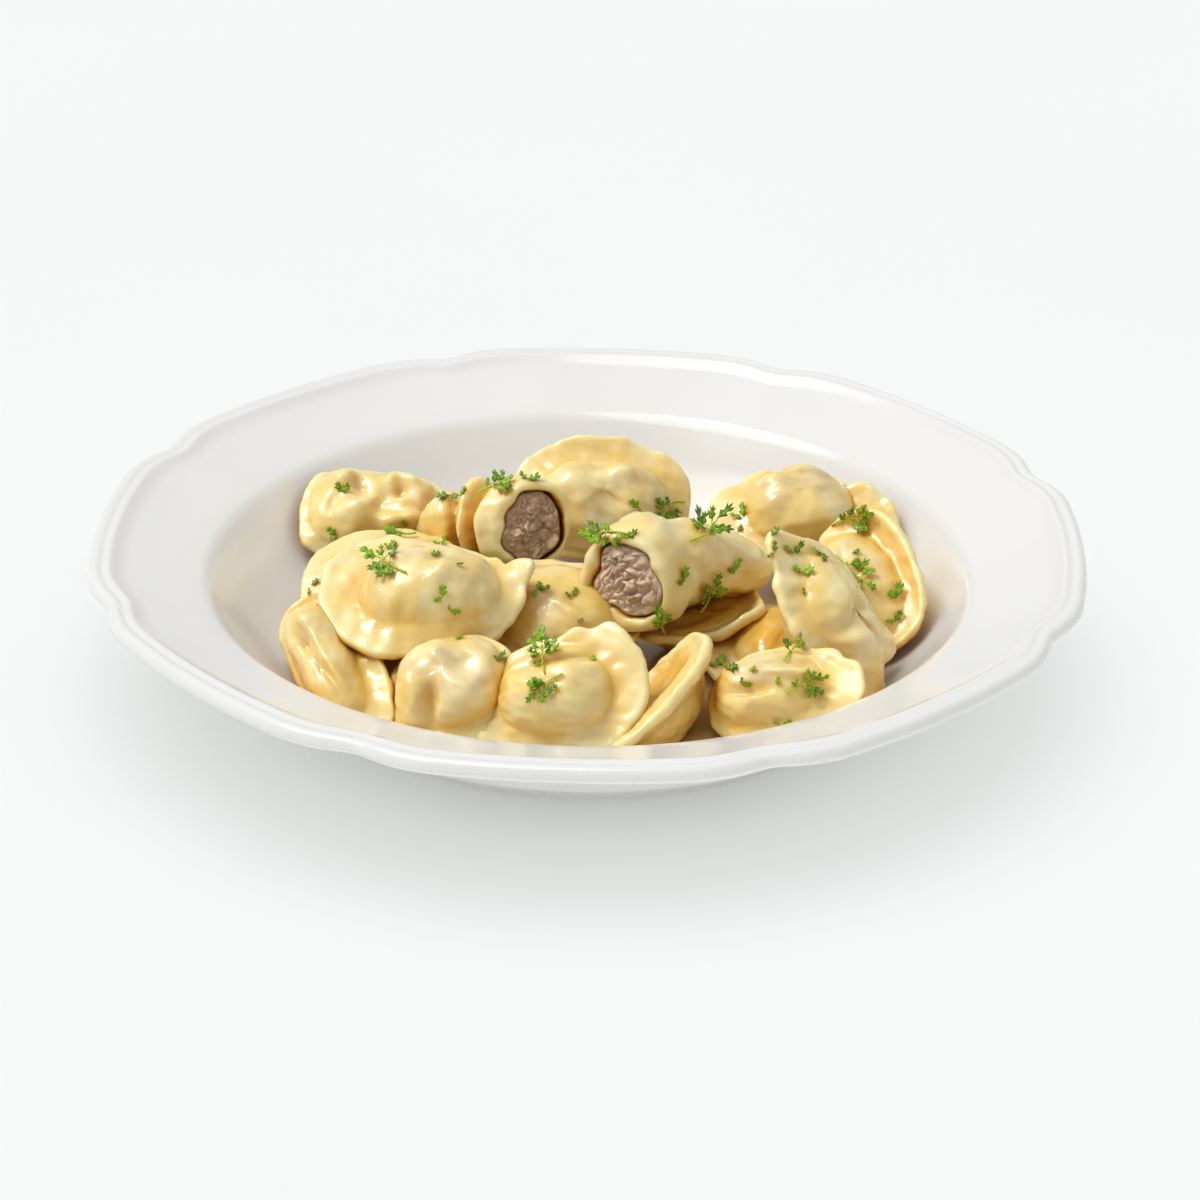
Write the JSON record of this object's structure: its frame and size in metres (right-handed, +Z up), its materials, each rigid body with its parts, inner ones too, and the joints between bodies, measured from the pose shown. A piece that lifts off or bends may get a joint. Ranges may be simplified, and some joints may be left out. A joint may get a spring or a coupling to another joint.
{
  "type": "plate of boiled dumplings",
  "caption": "Deep round plate with a scalloped rim, filled with a heap of boiled meat dumplings, some cut open, and chopped parsley.",
  "frame": {"origin": "centre of the plate's foot, on the table", "axes": "+Z up out of the plate, +X to the right of the shown side, -Y toward the viewer of the shown side"},
  "size_m": [0.2388, 0.2388, 0.0456],
  "materials": {
    "plate": "glossy white glaze",
    "dough": "wet boiled dough, soft sheen",
    "mince": "moist cooked mince",
    "parsley": "fresh chopped leaf"
  },
  "bodies": {
    "root": {"mince_left": "mince", "mince_right": "mince", "parsley_01": "parsley", "parsley_02": "parsley", "parsley_03": "parsley", "parsley_04": "parsley", "parsley_05": "parsley", "parsley_06": "parsley", "parsley_07": "parsley", "parsley_08": "parsley", "parsley_09": "parsley", "parsley_10": "parsley", "parsley_11": "parsley", "parsley_12": "parsley", "parsley_13": "parsley", "parsley_14": "parsley", "pelmen_back": "dough", "pelmen_back_left": "dough", "pelmen_back_right": "dough", "pelmen_cut_left": "dough", "pelmen_cut_right": "dough", "pelmen_draped": "dough", "pelmen_front": "dough", "pelmen_front_folded": "dough", "pelmen_front_left": "dough", "pelmen_front_right": "dough", "pelmen_left_edge": "dough", "pelmen_left_low": "dough", "pelmen_left_top": "dough", "pelmen_left_under": "dough", "pelmen_middle": "dough", "pelmen_right": "dough", "pelmen_right_corner": "dough", "pelmen_right_low": "dough", "pelmen_under_right": "dough", "plate": "plate"}
  },
  "joints": []
}
